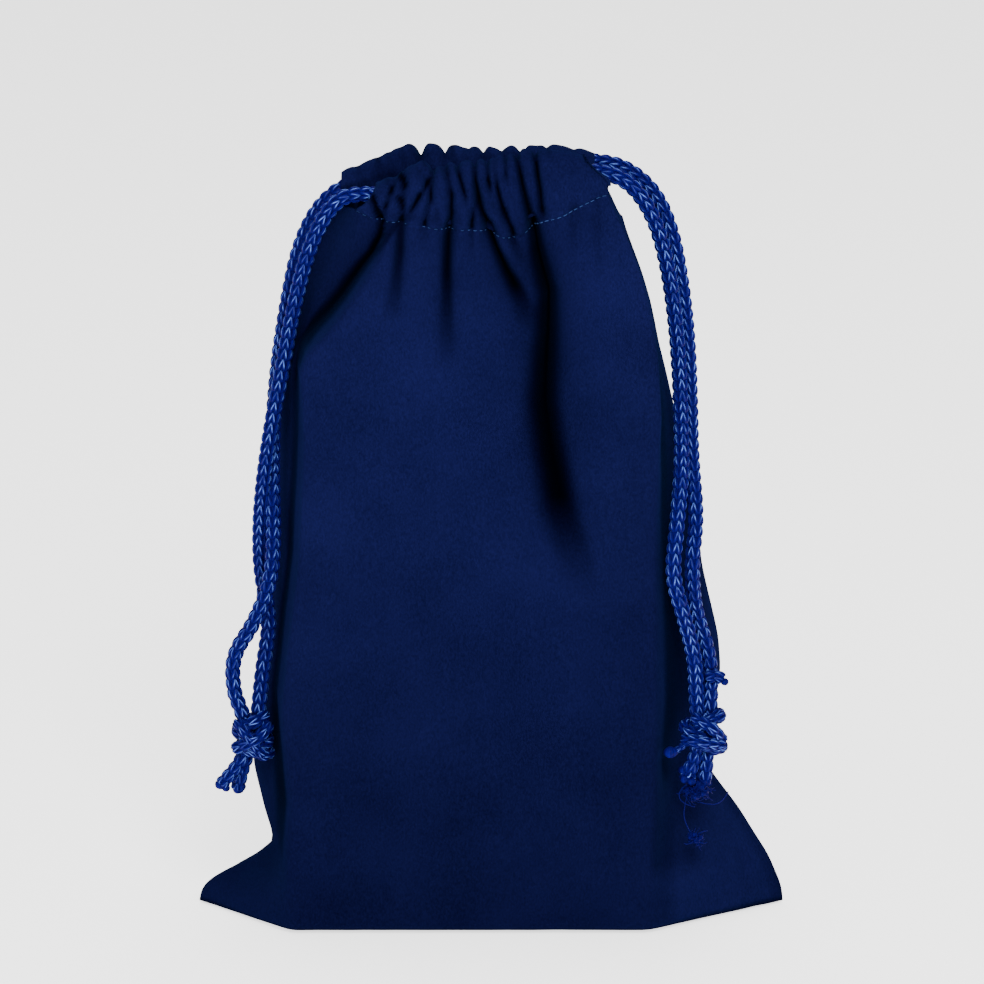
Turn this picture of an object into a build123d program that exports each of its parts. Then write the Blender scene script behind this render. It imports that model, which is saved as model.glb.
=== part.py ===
from build123d import *
import math
import os

# Drawstring gift pouch: two velvet panels sewn on three sides, a cord casing along each half
# of the mouth, and two drawcords that run round both casings from opposite sides.
# Millimetres. +Z up, front towards -Y, origin on the floor below the middle of the mouth line.

os.makedirs("parts", exist_ok=True)

# Driving dimensions: the cloth
CLOTH_T = 1.2  # doubled at folds, so the cloth counts as a thin padded layer
FLAT_WIDTH = 200.0  # ear tip to ear tip, the width of the flat bag
PANEL_TOP = 241.0  # where the panels end and the casings start
ALLOWANCE_W = 8.0  # how far a seam allowance reaches inside the bag
ALLOWANCE_T = 1.2
THREAD_D = 0.8
SEAM_INSET = 2.2  # the side seams' inner faces stand this many cloth thicknesses in
THREAD_OFFSET = SEAM_INSET * CLOTH_T + 1.6  # from the seam to its line of lockstitch
FACE_LIFT = 1.0  # the hollow runs this far past the panels' top edge
BOTTOM_LEFT = -62.0
BOTTOM_LENGTH = 112.0
BOTTOM_THREAD_Y = 1.2

# Driving dimensions: the casings
CASING_LEFT = -47.0
CASING_RIGHT = 39.0
CASING_Y = 10.0  # distance of each casing's channel axis from the middle plane
CASING_Z = 258.0
CHANNEL_R = 6.0
CASING_R = 7.0
HEM_Y = 16.2  # the stitched lower edge of a casing
HEM_Z = 244.4
HEM_R = 0.8
VENT_LENGTH = 22.0  # the stretch at each end where the inner wall of a casing is open
VENT_LOW_DEG = -94.0
VENT_HIGH_DEG = 76.0
STITCH_LENGTH = 2.2
STITCH_PITCH = 3.4
STITCH_T = 0.5

# Driving dimensions: the drawcords
CORD_D = 5.0
CORD_R = CORD_D / 2
LEFT_CORD_Z = CASING_Z - 2.7  # the two cords lie one above the other in each channel
RIGHT_CORD_Z = CASING_Z + 2.7
BEND_INSET = 3.0  # how far inside the casing's end a cord turns back
BEND_R = 9.9
ENTRY_INSET = 1.5  # where a cord enters its casing
ENTRY_R = 8.0
LEFT_LOOP_END = (-51.6, 8.5, 254.2)  # where each loop leaves the back casing
RIGHT_LOOP_END = (44.4, 8.6, 260.2)

# Driving dimensions: the knots, the cut ends and the frayed yarn
KNOT_FOOT_TRIM = (1.6, 1.2)  # how much narrower a knot's foot is, across and front to back
KNOT_HEAD_TRIM = (1.2, 1.0)
TIP_ROUND = 0.4  # rounding at a melted tip, as a share of its radius
SIDE_END_R = 2.2
YARN_TOP = (67.4, -31.0, 57.0)
YARN_LENGTH = 24.0
CLUMP_R = 2.2

# Level by level: height, left side seam, left crease, right crease, right side seam, half depth
LEVELS = [
    (0.0, -FLAT_WIDTH / 2, -69.0, 56.0, FLAT_WIDTH / 2, 36.0),
    (6.0, -97.5, -71.0, 56.5, 99.4, 36.0),
    (13.0, -88.0, -72.0, 57.0, 96.8, 36.0),
    (20.0, -76.5, -71.5, 57.5, 93.6, 36.0),
    (34.0, -77.5, -71.0, 57.5, 85.6, 36.0),
    (52.0, -79.5, -70.5, 58.0, 73.0, 36.0),
    (85.0, -75.5, -69.5, 58.0, 78.5, 35.5),
    (120.0, -72.5, -69.0, 58.0, 72.5, 35.0),
    (155.0, -71.5, -68.5, 58.0, 68.0, 34.5),
    (180.0, -70.5, -67.5, 57.5, 62.0, 33.0),
    (200.0, -68.5, -65.5, 54.5, 57.5, 31.0),
    (218.0, -64.5, -59.0, 49.5, 54.0, 27.0),
    (232.0, -57.5, -51.5, 44.0, 48.5, 21.5),
    (PANEL_TOP, -51.0, -46.8, 38.8, 44.4, 17.6),
]

# The left cord's strands, from the bend at the vent down to the knot
LEFT_FRONT_ROUTE = [
    (-54.8, -7.4, 252.6),
    (-62.2, -6.6, 244.6),
    (-67.2, -8.4, 229.4),
    (-70.6, -10.0, 212.2),
    (-73.6, -12.6, 192.8),
    (-76.0, -13.8, 173.6),
    (-79.0, -12.0, 156.2),
    (-80.2, -9.8, 138.6),
    (-79.0, -9.4, 121.6),
    (-75.8, -12.2, 105.8),
    (-78.6, -14.8, 90.4),
    (-79.8, -16.6, 75.0),
]
LEFT_BACK_ROUTE = [
    (-54.8, 7.4, 252.6),
    (-61.6, 3.6, 244.2),
    (-65.4, -1.8, 229.0),
    (-69.8, -4.0, 211.6),
    (-72.8, -6.8, 192.4),
    (-74.0, -7.8, 173.8),
    (-73.8, -9.2, 156.0),
    (-74.4, -13.0, 139.2),
    (-75.0, -18.6, 122.6),
    (-80.6, -20.6, 107.4),
    (-88.4, -19.4, 95.4),
    (-88.0, -18.2, 82.0),
    (-85.2, -17.6, 74.2),
]

# The right cord's strands
RIGHT_FRONT_ROUTE = [
    (47.6, -7.6, 259.6),
    (56.0, -6.4, 253.4),
    (61.4, -7.0, 238.8),
    (63.4, -8.6, 220.8),
    (64.6, -12.6, 201.2),
    (64.8, -17.4, 181.6),
    (65.0, -22.2, 162.4),
    (63.4, -29.4, 143.6),
    (61.4, -33.6, 127.4),
    (65.8, -31.6, 112.6),
    (69.6, -28.6, 96.6),
    (69.2, -28.2, 80.6),
]
RIGHT_BACK_ROUTE = [
    (47.6, 7.6, 259.6),
    (55.4, 4.0, 252.6),
    (60.2, -0.8, 238.2),
    (63.8, -2.8, 220.4),
    (67.0, -7.2, 200.6),
    (67.4, -12.2, 181.2),
    (67.6, -16.6, 163.0),
    (69.4, -23.6, 145.2),
    (67.6, -28.4, 129.4),
    (69.0, -25.4, 113.4),
    (75.6, -23.6, 97.0),
    (74.8, -25.8, 80.8),
]


def bend_radii(points):
    """Radius at each inner point: 0.45 of the shorter run over the tangent of half the turn."""
    radii = []
    for before, here, after in zip(points, points[1:], points[2:]):
        run_in = Vector(here) - Vector(before)
        run_out = Vector(after) - Vector(here)
        half_turn = math.radians(run_in.get_angle(run_out)) / 2
        radii.append(0.45 * min(run_in.length, run_out.length) / math.tan(half_turn))
    return radii


def cord_tube(name, points, radii):
    """A round tube along straight runs joined by tangent arcs."""
    with BuildPart() as tube:
        with BuildLine() as route:
            FilletPolyline(*points, radius=radii)
        with BuildSketch(Plane(origin=route.line @ 0, z_dir=route.line % 0)):
            Circle(CORD_R)
        sweep(path=route.line)
    length = sum(edge.length for edge in route.edges())
    ratio = tube.part.volume / (math.pi * CORD_R**2 * length)
    print(name, "radii", [round(r, 1) for r in radii])
    print(name, "length", round(length, 1), "volume over section times length", round(ratio, 4))
    finish(tube.part, name)


def finish(part, name):
    """Label a finished piece and write it as its own STEP file."""
    part.label = name
    export_step(part, f"parts/{name}.step")


def bag_outline(level, inset):
    """The six corners of the bag at one level, moved inwards by the inset."""
    left_seam, left_crease, right_crease, right_seam, half_depth = level[1:]
    depth = half_depth - inset
    return [
        (left_seam + SEAM_INSET * inset, 0),
        (left_crease + inset, -depth),
        (right_crease - inset, -depth),
        (right_seam - SEAM_INSET * inset, 0),
        (right_crease - inset, depth),
        (left_crease + inset, depth),
    ]


# ---------------------------------------------------------------- the bag's cloth

with BuildPart() as bag_inside:
    for level in LEVELS:
        floor_lift = CLOTH_T if level[0] == 0 else 0.0
        top_lift = FACE_LIFT if level[0] == PANEL_TOP else 0.0
        with BuildSketch(Plane.XY.offset(level[0] + floor_lift + top_lift)):
            Polygon(*bag_outline(level, CLOTH_T), align=None)
    loft(ruled=True)

with BuildPart() as bag_shell:
    for level in LEVELS:
        with BuildSketch(Plane.XY.offset(level[0])):
            Polygon(*bag_outline(level, 0.0), align=None)
    loft(ruled=True)
    add(bag_inside.part, mode=Mode.SUBTRACT)

with BuildPart() as front_panel:
    add(bag_shell.part)
    split(bisect_by=Plane.XZ, keep=Keep.TOP)
finish(front_panel.part, "front_panel")

with BuildPart() as back_panel:
    add(bag_shell.part)
    split(bisect_by=Plane.XZ, keep=Keep.BOTTOM)
finish(back_panel.part, "back_panel")


# ---------------------------------------------------------------- seam allowances and thread

def seam_allowance(name, seam_column, inward):
    """The flat strip of doubled cloth that follows a side seam inside the bag."""
    seam = [(level[seam_column], level[0]) for level in LEVELS if 20.0 <= level[0] <= 240.0]
    free_edge = [(x + inward * ALLOWANCE_W, z) for x, z in reversed(seam)]
    with BuildPart() as strip:
        with BuildSketch(Plane.XZ):
            Polygon(*seam, *free_edge, align=None)
        extrude(amount=ALLOWANCE_T / 2, both=True)
        add(bag_inside.part, mode=Mode.INTERSECT)
    finish(strip.part, name)


seam_allowance("left_seam_allowance", 1, +1)
seam_allowance("right_seam_allowance", 4, -1)


def seam_thread(name, seam_column, inward):
    """The line of lockstitch on both faces of a side seam's allowance."""
    seam = [(level[seam_column], level[0]) for level in LEVELS if 30.0 <= level[0] <= 235.0]
    near_edge = [(x + inward * THREAD_OFFSET, z) for x, z in seam]
    far_edge = [(x + inward * (THREAD_OFFSET + THREAD_D), z) for x, z in reversed(seam)]
    with BuildPart() as thread:
        for face in (-1, 1):
            with BuildSketch(Plane.XZ.offset(face * ALLOWANCE_T / 2)):
                Polygon(*near_edge, *far_edge, align=None)
            extrude(amount=face * THREAD_D / 2)
    finish(thread.part, name)


seam_thread("left_seam_thread", 1, +1)
seam_thread("right_seam_thread", 4, -1)

bottom_middle = BOTTOM_LEFT + BOTTOM_LENGTH / 2

with BuildPart() as bottom_seam_allowance:
    with BuildSketch(Plane.XY.offset(CLOTH_T)):
        with Locations((bottom_middle, ALLOWANCE_W / 2)):
            Rectangle(BOTTOM_LENGTH, ALLOWANCE_W)
    extrude(amount=ALLOWANCE_T)
finish(bottom_seam_allowance.part, "bottom_seam_allowance")

with BuildPart() as bottom_seam_thread:
    with BuildSketch(Plane.XY.offset(CLOTH_T + ALLOWANCE_T)):
        with Locations((bottom_middle, BOTTOM_THREAD_Y)):
            Rectangle(BOTTOM_LENGTH - 6, THREAD_D)
    extrude(amount=THREAD_D / 2)
finish(bottom_seam_thread.part, "bottom_seam_thread")


# ---------------------------------------------------------------- casings round the mouth

def vent_corner(angle_deg, reach):
    """A point at an angle from the channel axis, measured from the mouth's side upwards."""
    angle = math.radians(angle_deg)
    return (-CASING_Y + reach * math.cos(angle), CASING_Z + reach * math.sin(angle))


def make_casing(name, flip):
    """One casing: a hem folded into a channel, stitched below, with an open vent at each end."""
    with BuildPart() as casing:
        with BuildSketch(Plane.YZ.offset(CASING_LEFT)):
            with BuildLine():
                CenterArc((-CASING_Y, CASING_Z), CASING_R, 0, 360)
                CenterArc((-HEM_Y, HEM_Z), HEM_R, 0, 360)
            make_hull()
            with Locations((-CASING_Y, CASING_Z)):
                Circle(CHANNEL_R, mode=Mode.SUBTRACT)
        extrude(amount=CASING_RIGHT - CASING_LEFT)
        for start in (CASING_LEFT, CASING_RIGHT - VENT_LENGTH):
            with BuildSketch(Plane.YZ.offset(start)):
                Polygon(
                    (-CASING_Y, CASING_Z),
                    vent_corner(VENT_HIGH_DEG, 13.0),
                    vent_corner(45.0, 18.0),
                    vent_corner(0.0, 16.0),
                    vent_corner(-45.0, 18.0),
                    vent_corner(VENT_LOW_DEG, 13.0),
                    align=None,
                )
            extrude(amount=VENT_LENGTH, mode=Mode.SUBTRACT)
    placed = casing.part.mirror(Plane.XZ) if flip else casing.part
    finish(placed, name)


make_casing("front_casing", flip=False)
make_casing("back_casing", flip=True)


def make_stitches(name, side):
    """The dashed line of stitches along a casing's lower edge, standing on its outer face."""
    count = int((CASING_RIGHT - CASING_LEFT) / STITCH_PITCH)
    middle = (CASING_LEFT + CASING_RIGHT) / 2
    face_y = side * (HEM_Y + HEM_R + STITCH_T / 2)
    with BuildPart() as stitches:
        with Locations((middle, face_y, HEM_Z)):
            with GridLocations(STITCH_PITCH, 1, count, 1):
                Box(STITCH_LENGTH, STITCH_T, STITCH_T)
    finish(stitches.part, name)


make_stitches("front_casing_stitches", -1)
make_stitches("back_casing_stitches", +1)


# ---------------------------------------------------------------- drawcords in the casings

def loop_route(end, entry_x, bend_x, level):
    """A cord's way in through the front casing, round its bend and out through the back one."""
    x, y, z = end
    return [
        (x, -y, z),
        (entry_x, -CASING_Y, level),
        (bend_x, -CASING_Y, level),
        (bend_x, CASING_Y, level),
        (entry_x, CASING_Y, level),
        (x, y, z),
    ]


left_loop = loop_route(
    LEFT_LOOP_END, CASING_LEFT + ENTRY_INSET, CASING_RIGHT - BEND_INSET, LEFT_CORD_Z
)
cord_tube("left_cord_loop", left_loop, [ENTRY_R, BEND_R, BEND_R, ENTRY_R])

right_loop = loop_route(
    RIGHT_LOOP_END, CASING_RIGHT - ENTRY_INSET, CASING_LEFT + BEND_INSET, RIGHT_CORD_Z
)
cord_tube("right_cord_loop", right_loop, [ENTRY_R, BEND_R, BEND_R, ENTRY_R])


# ---------------------------------------------------------------- hanging strands

for strand_name, strand_route in (
    ("left_tail_front_strand", LEFT_FRONT_ROUTE),
    ("left_tail_back_strand", LEFT_BACK_ROUTE),
    ("right_tail_front_strand", RIGHT_FRONT_ROUTE),
    ("right_tail_back_strand", RIGHT_BACK_ROUTE),
):
    cord_tube(strand_name, strand_route, bend_radii(strand_route))


# ---------------------------------------------------------------- knots and cord ends

def make_knot(name, centre, size):
    """A knot's outer shape: an oval barrel standing on its end, with flat faces for the cords."""
    width, depth, height = size
    sections = ((-height / 2, KNOT_FOOT_TRIM), (0.0, (0.0, 0.0)), (height / 2, KNOT_HEAD_TRIM))
    with BuildPart() as knot:
        for rise, trim in sections:
            with BuildSketch(Plane.XY.offset(centre[2] + rise)):
                with Locations((centre[0], centre[1])):
                    Ellipse(width / 2 - trim[0], depth / 2 - trim[1])
        loft()
    finish(knot.part, name)


def make_end(name, start, tip, radius):
    """A short cut end of cord, from a knot to its melted tip."""
    run = Vector(tip) - Vector(start)
    with BuildPart() as end:
        with BuildSketch(Plane(origin=start, z_dir=run)):
            Circle(radius)
        extrude(amount=run.length)
        fillet(end.faces().sort_by(Axis.Z)[0].edges(), radius * TIP_ROUND)
    finish(end.part, name)


make_knot("left_knot", (-82.4, -17.2, 66.4), (15.0, 13.0, 15.6))
make_end("left_end_a", (-86.0, -19.6, 58.2), (-92.6, -19.0, 47.6), CORD_R)
make_end("left_end_b", (-82.6, -15.6, 58.2), (-87.4, -15.4, 45.2), CORD_R)

make_knot("right_knot", (71.6, -27.4, 72.6), (16.0, 13.0, 14.6))
make_end("right_end_a", (69.6, -28.6, 64.9), (66.6, -30.6, 54.6), CORD_R)
make_end("right_end_b", (75.2, -26.6, 64.9), (72.6, -28.4, 50.4), CORD_R)
make_end("right_end_tip", (66.5, -30.5, 68.5), (60.6, -35.0, 63.4), SIDE_END_R)

with BuildPart() as right_frayed_yarn:
    with BuildSketch(Plane.XY.offset(YARN_TOP[2] - YARN_LENGTH)):
        with Locations((YARN_TOP[0], YARN_TOP[1])):
            Circle(THREAD_D / 2)
    extrude(amount=YARN_LENGTH)
    with Locations((YARN_TOP[0], YARN_TOP[1], YARN_TOP[2] - YARN_LENGTH)):
        Sphere(CLUMP_R)
finish(right_frayed_yarn.part, "right_frayed_yarn")
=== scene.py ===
import math
import random

import bpy
import numpy as np
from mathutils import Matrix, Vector, noise


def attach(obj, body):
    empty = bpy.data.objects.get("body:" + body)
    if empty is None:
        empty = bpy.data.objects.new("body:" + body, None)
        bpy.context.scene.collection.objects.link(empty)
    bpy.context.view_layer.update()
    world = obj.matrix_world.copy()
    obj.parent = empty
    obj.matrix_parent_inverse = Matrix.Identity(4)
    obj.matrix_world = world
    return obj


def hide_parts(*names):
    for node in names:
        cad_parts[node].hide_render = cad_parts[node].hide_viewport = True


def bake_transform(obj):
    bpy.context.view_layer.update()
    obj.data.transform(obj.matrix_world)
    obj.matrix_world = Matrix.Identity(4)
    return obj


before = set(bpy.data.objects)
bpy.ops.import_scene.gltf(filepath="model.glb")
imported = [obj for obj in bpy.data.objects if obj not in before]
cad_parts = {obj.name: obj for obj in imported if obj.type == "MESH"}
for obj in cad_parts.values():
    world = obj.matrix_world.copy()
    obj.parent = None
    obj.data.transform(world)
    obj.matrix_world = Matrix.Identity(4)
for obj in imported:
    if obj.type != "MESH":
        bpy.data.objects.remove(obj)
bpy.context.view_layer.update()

# A velvet drawstring pouch. Shapes are worked out in millimetres and scaled when a mesh is made.
MM = 0.001
KNIT_DIAMETER = 5.7  # over the tops of the cord's stitches
CLOTH_THICKNESS = 0.9


def placed(name, data):
    """A new object in the scene."""
    made = bpy.data.objects.new(name, data)
    bpy.context.scene.collection.objects.link(made)
    return made


# ------------------------------------------------------------------ camera

camera_data = bpy.data.cameras.new("camera")
camera = placed("camera", camera_data)
bpy.context.scene.camera = camera
CAMERA_ELEVATION = math.radians(15.0)
CAMERA_DISTANCE = 2.4
CAMERA_TARGET = Vector((0.0002, 0.0, 0.1478))
FRAME_WIDTH = 0.3370  # how much of the world the picture spans at the target
camera_back = Vector((0.0, -math.cos(CAMERA_ELEVATION), math.sin(CAMERA_ELEVATION)))
camera.location = CAMERA_TARGET + camera_back * CAMERA_DISTANCE
camera.rotation_euler = (math.pi / 2 - CAMERA_ELEVATION, 0.0, 0.0)
camera_data.sensor_width = 36.0
camera_data.lens = camera_data.sensor_width * CAMERA_DISTANCE / FRAME_WIDTH


# ------------------------------------------------------------------ small helpers

def table(points, smooth=5.0, low=-10.0, high=290.0):
    """A smooth function through (place, value) pairs, softened over a few millimetres."""
    places = np.array([p[0] for p in points], float)
    values = np.array([p[1] for p in points], float)
    dense = np.arange(low, high, 0.5)
    curve = np.interp(dense, places, values)
    if smooth > 0:
        reach = int(smooth * 6)
        weights = np.exp(-0.5 * (np.arange(-reach, reach + 1) * 0.5 / smooth) ** 2)
        weights /= weights.sum()
        curve = np.convolve(np.pad(curve, reach, mode="edge"), weights, mode="valid")
    return lambda x: np.interp(x, dense, curve)


def smoothstep(x, low, high):
    """0 below low, 1 above high and smooth between."""
    t = np.clip((np.asarray(x, float) - low) / (high - low), 0.0, 1.0)
    return t * t * (3 - 2 * t)


def mesh_object(name, points_mm, faces):
    """A smooth-shaded mesh object from points in millimetres."""
    mesh = bpy.data.meshes.new(name)
    mesh.from_pydata([tuple(p) for p in np.asarray(points_mm) * MM], [], faces)
    mesh.update()
    mesh.polygons.foreach_set("use_smooth", [True] * len(mesh.polygons))
    return placed(name, mesh)


def dress(made, material):
    """Gives a piece its material."""
    made.data.materials.clear()
    made.data.materials.append(material)
    return made


# ------------------------------------------------------------------ materials

def new_material(name):
    """An empty node material, with its shader."""
    material = bpy.data.materials.new(name)
    material.use_nodes = True
    nodes = material.node_tree.nodes
    shader = nodes["Principled BSDF"]
    return material, nodes, material.node_tree.links, shader


def set_inputs(node, values):
    """Sets inputs by name."""
    for name, value in values.items():
        node.inputs[name].default_value = value


def add_node(nodes, kind, **values):
    """A node with its attributes and inputs set by name."""
    made = nodes.new(kind)
    for key, value in values.items():
        if key.startswith("in_"):
            made.inputs[key[3:].replace("_", " ")].default_value = value
        else:
            setattr(made, key, value)
    return made


def ramp_between(nodes, links, source, low, high, first=0.0, last=1.0):
    """Maps a value from low..high onto first..last, held at both ends."""
    spread = add_node(nodes, "ShaderNodeMapRange")
    set_inputs(spread, {"From Min": low, "From Max": high, "To Min": first, "To Max": last})
    links.new(source, spread.inputs["Value"])
    return spread.outputs["Result"]


def maths(nodes, links, operation, *values):
    """One sum of values, each a socket or a number."""
    made = add_node(nodes, "ShaderNodeMath", operation=operation)
    for socket, value in zip(made.inputs, values):
        if isinstance(value, (int, float)):
            socket.default_value = value
        else:
            links.new(value, socket)
    return made.outputs["Value"]


def noise_over(nodes, links, places, scale, detail, roughness=0.5):
    """Noise read at a socket of places."""
    made = add_node(
        nodes, "ShaderNodeTexNoise", in_Scale=scale, in_Detail=detail, in_Roughness=roughness)
    links.new(places, made.inputs["Vector"])
    return made.outputs["Fac"]


def stretched(nodes, links, places, scale):
    """Places scaled by a different amount each way."""
    made = add_node(nodes, "ShaderNodeMapping", in_Scale=scale)
    links.new(places, made.inputs["Vector"])
    return made.outputs["Vector"]


def two_colours(nodes, links, source, first, last, low=0.0, high=1.0):
    """Runs from one colour to another as a value goes from low to high."""
    ramp = add_node(nodes, "ShaderNodeValToRGB")
    for stop, position, colour in zip(ramp.color_ramp.elements, (low, high), (first, last)):
        stop.position = position
        stop.color = (*colour, 1.0)
    links.new(source, ramp.inputs["Fac"])
    return ramp.outputs["Color"]


def raise_surface(nodes, links, shader, height, strength, distance):
    """Gives a shader its fine relief."""
    bump = add_node(nodes, "ShaderNodeBump", in_Strength=strength, in_Distance=distance)
    links.new(height, bump.inputs["Height"])
    links.new(bump.outputs["Normal"], shader.inputs["Normal"])


def velvet_material(name, dark, light):
    """Short-pile velvet: a fine nap, faint brushing marks, and painted shade, darkest wherever it is
    shut in.
    """
    material, nodes, links, shader = new_material(name)
    places = add_node(nodes, "ShaderNodeTexCoord").outputs["Object"]
    pile = noise_over(nodes, links, stretched(nodes, links, places, (1.0, 1.0, 0.55)), 1700.0, 3.0, 0.65)
    brushed = noise_over(nodes, links, places, 26.0, 4.0, 0.55)
    speck = noise_over(nodes, links, places, 5200.0, 1.0)
    nap = maths(nodes, links, "MULTIPLY_ADD", pile, 1.6, brushed)
    colour = two_colours(nodes, links, ramp_between(nodes, links, nap, 0.85, 1.75), dark, light)
    # Painted shade: a point attribute of the cloth darkens its base colour, down to 3 per cent.
    painted_shade = add_node(nodes, "ShaderNodeAttribute", attribute_name="painted_shade")
    shade = ramp_between(nodes, links, painted_shade.outputs["Fac"], 0.0, 1.0, 1.0, 0.03)
    darker = add_node(nodes, "ShaderNodeVectorMath", operation="SCALE")
    links.new(colour, darker.inputs[0])
    links.new(shade, darker.inputs["Scale"])
    links.new(darker.outputs["Vector"], shader.inputs["Base Color"])
    raise_surface(nodes, links, shader, maths(nodes, links, "ADD", pile, speck), 0.5, 0.0003)
    set_inputs(shader, {
        "Roughness": 0.95, "Specular IOR Level": 0.0, "Sheen Weight": 0.02, "Sheen Roughness": 0.5,
        "Sheen Tint": (0.12, 0.28, 1.0, 1.0)})
    return material


def yarn_material(name, deep, bright, gleam, gleam_share, roughness):
    """Filament yarn: fine streaks along each stitch and pale painted highlights (glints) where it turns.
    """
    material, nodes, links, shader = new_material(name)
    layout = add_node(nodes, "ShaderNodeUVMap", uv_map="yarn").outputs["UV"]
    places = add_node(nodes, "ShaderNodeTexCoord").outputs["Object"]
    parts = add_node(nodes, "ShaderNodeSeparateXYZ")
    links.new(layout, parts.inputs["Vector"])
    length = parts.outputs["Y"]
    filament = noise_over(nodes, links, stretched(nodes, links, layout, (26.0, 2.2, 1.0)), 1.0, 2.0, 0.6)
    patches = noise_over(nodes, links, places, 330.0, 1.0)
    off_crown = maths(nodes, links, "SUBTRACT", parts.outputs["X"], 0.25)
    off_crown = maths(nodes, links, "ABSOLUTE", off_crown)
    # Painted highlight: each glint is a narrow pale streak on its stitch's crown, between rise and fall,
    # on some stitches.
    glint = gleam_share
    for source, low, high, first, last in (
        (off_crown, 0.008, 0.056, 1.0, 0.0), (length, 0.30, 0.55, 0.0, 1.0),
        (length, 0.84, 0.98, 1.0, 0.0), (patches, 0.40, 0.62, 0.15, 1.0),
        (filament, 0.34, 0.56, 0.3, 1.0),
    ):
        part = ramp_between(nodes, links, source, low, high, first, last)
        glint = maths(nodes, links, "MULTIPLY", glint, part)
    tint = add_node(nodes, "ShaderNodeMix", data_type="RGBA")
    tint.inputs[7].default_value = (*gleam, 1.0)
    links.new(glint, tint.inputs[0])
    links.new(two_colours(nodes, links, filament, deep, bright, 0.32, 0.68), tint.inputs[6])
    links.new(tint.outputs[2], shader.inputs["Base Color"])
    raise_surface(nodes, links, shader, filament, 0.6, 0.00015)
    set_inputs(shader, {"Roughness": roughness, "Specular IOR Level": 0.03})
    return material


velvet = velvet_material("navy_velvet", (0.0019, 0.0022, 0.0176), (0.0050, 0.0057, 0.0415))
# Each yarn's third colour is its painted glint, and the number after it sets how much of that glint
# shows.
cord_yarn = yarn_material(
    "royal_blue_yarn", (0.0016, 0.0002, 0.032), (0.0044, 0.0003, 0.112), (0.16, 0.31, 0.95), 0.80, 0.45)
pale_thread = yarn_material(
    "pale_blue_thread", (0.008, 0.016, 0.06), (0.03, 0.06, 0.18), (0.14, 0.24, 0.5), 0.7, 0.5)
navy_thread = yarn_material(
    "navy_thread", (0.002, 0.005, 0.03), (0.004, 0.01, 0.06), (0.01, 0.03, 0.12), 0.5, 0.6)


# ------------------------------------------------------------------ cords

def nurbs_points(route_mm, spacing=0.5):
    """Points a set distance apart along the smooth spline that a route's points control."""
    curve = bpy.data.curves.new("route", "CURVE")
    curve.dimensions = "3D"
    curve.resolution_u = 24
    spline = curve.splines.new("NURBS")
    spline.points.add(len(route_mm) - 1)
    for point, place in zip(spline.points, route_mm):
        point.co = (*place, 1.0)
    spline.order_u = 3
    spline.use_endpoint_u = True
    holder = bpy.data.objects.new("route", curve)
    line = bpy.data.meshes.new_from_object(holder)
    points = np.array([v.co for v in line.vertices], float)
    bpy.data.meshes.remove(line)
    bpy.data.objects.remove(holder)
    bpy.data.curves.remove(curve)
    return even_points(points, spacing)


def distances_along(points):
    """How far along a line each of its points is."""
    steps = np.linalg.norm(np.diff(points, axis=0), axis=1)
    return np.concatenate([[0.0], np.cumsum(steps)])


def read_at(wanted, along, rows):
    """Rows of three numbers read off between known distances."""
    return np.stack([np.interp(wanted, along, rows[:, k]) for k in range(3)], axis=1)


def unit(vectors):
    """The same vectors at length 1."""
    return vectors / np.linalg.norm(vectors, axis=-1, keepdims=True)


def even_points(points, spacing):
    """The same line with its points a set distance apart."""
    along = distances_along(points)
    count = max(3, int(round(along[-1] / spacing)) + 1)
    return read_at(np.linspace(0.0, along[-1], count), along, points)


def frames_along(points):
    """Two unit vectors across the line at each point, carried along without twisting."""
    tangents = unit(np.gradient(points, axis=0))
    start = np.array([0.0, 1.0, 0.0])
    if abs(tangents[0] @ start) > 0.9:
        start = np.array([1.0, 0.0, 0.0])
    side = unit(start - (start @ tangents[0]) * tangents[0])
    sides = [side]
    for tangent in tangents[1:]:
        side = unit(side - (side @ tangent) * tangent)
        sides.append(side)
    sides = np.array(sides)
    return sides, np.cross(tangents, sides)


def tube_rings(centres, across, up, half_width, half_height, segments):
    """Rings of points round a line, as an ellipse of two half sizes."""
    turn = np.arange(segments) * 2 * math.pi / segments
    wide = np.cos(turn)[None, :, None] * across[:, None, :] * half_width[:, None, None]
    high = np.sin(turn)[None, :, None] * up[:, None, :] * half_height[:, None, None]
    return centres[:, None, :] + wide + high


class TubeMesh:
    """Collects tubes into one mesh, its UV layout the place round and along each yarn."""

    def __init__(self):
        self.points = []
        self.faces = []
        self.layout = []
        self.count = 0

    def add(self, rings, length_scale=1.0):
        """One closed tube through its rings; length_scale is the yarn length between two rings."""
        rows, segments, _ = rings.shape
        base = self.count
        self.points.append(rings.reshape(-1, 3))
        self.count += rows * segments
        for row in range(rows - 1):
            for k in range(segments):
                after = (k + 1) % segments
                a = base + row * segments + k
                b = base + row * segments + after
                self.faces.append((a, b, b + segments, a + segments))
                u0, u1 = k / segments, (k + 1) / segments
                v0, v1 = row * length_scale, (row + 1) * length_scale
                self.layout.extend([(u0, v0), (u1, v0), (u1, v1), (u0, v1)])
        for row, flip in ((0, True), (rows - 1, False)):
            ring = [base + row * segments + k for k in range(segments)]
            self.faces.append(tuple(reversed(ring)) if flip else tuple(ring))
            self.layout.extend([(0.0, row * length_scale)] * segments)

    def build(self, name):
        made = mesh_object(name, np.concatenate(self.points), self.faces)
        layer = made.data.uv_layers.new(name="yarn")
        layer.data.foreach_set("uv", np.array(self.layout, np.float32).ravel())
        return made


STITCH_PITCH = 3.7
STITCH_COLUMNS = 5
STITCH_OVERLAP = 1.26  # how many pitches long a stitch's legs are
LEG_STEPS = 7
LEG_SEGMENTS = 6
LEG_WIDTH = np.array([0.34, 0.70, 0.90, 0.94, 0.88, 0.72, 0.38])
LEG_RISE = np.array([-0.62, -0.12, 0.14, 0.22, 0.16, -0.06, -0.60])
LEG_RADIUS = 2.08  # from the cord's middle to the middle of a leg
CORE_RADIUS = 1.95


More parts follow.
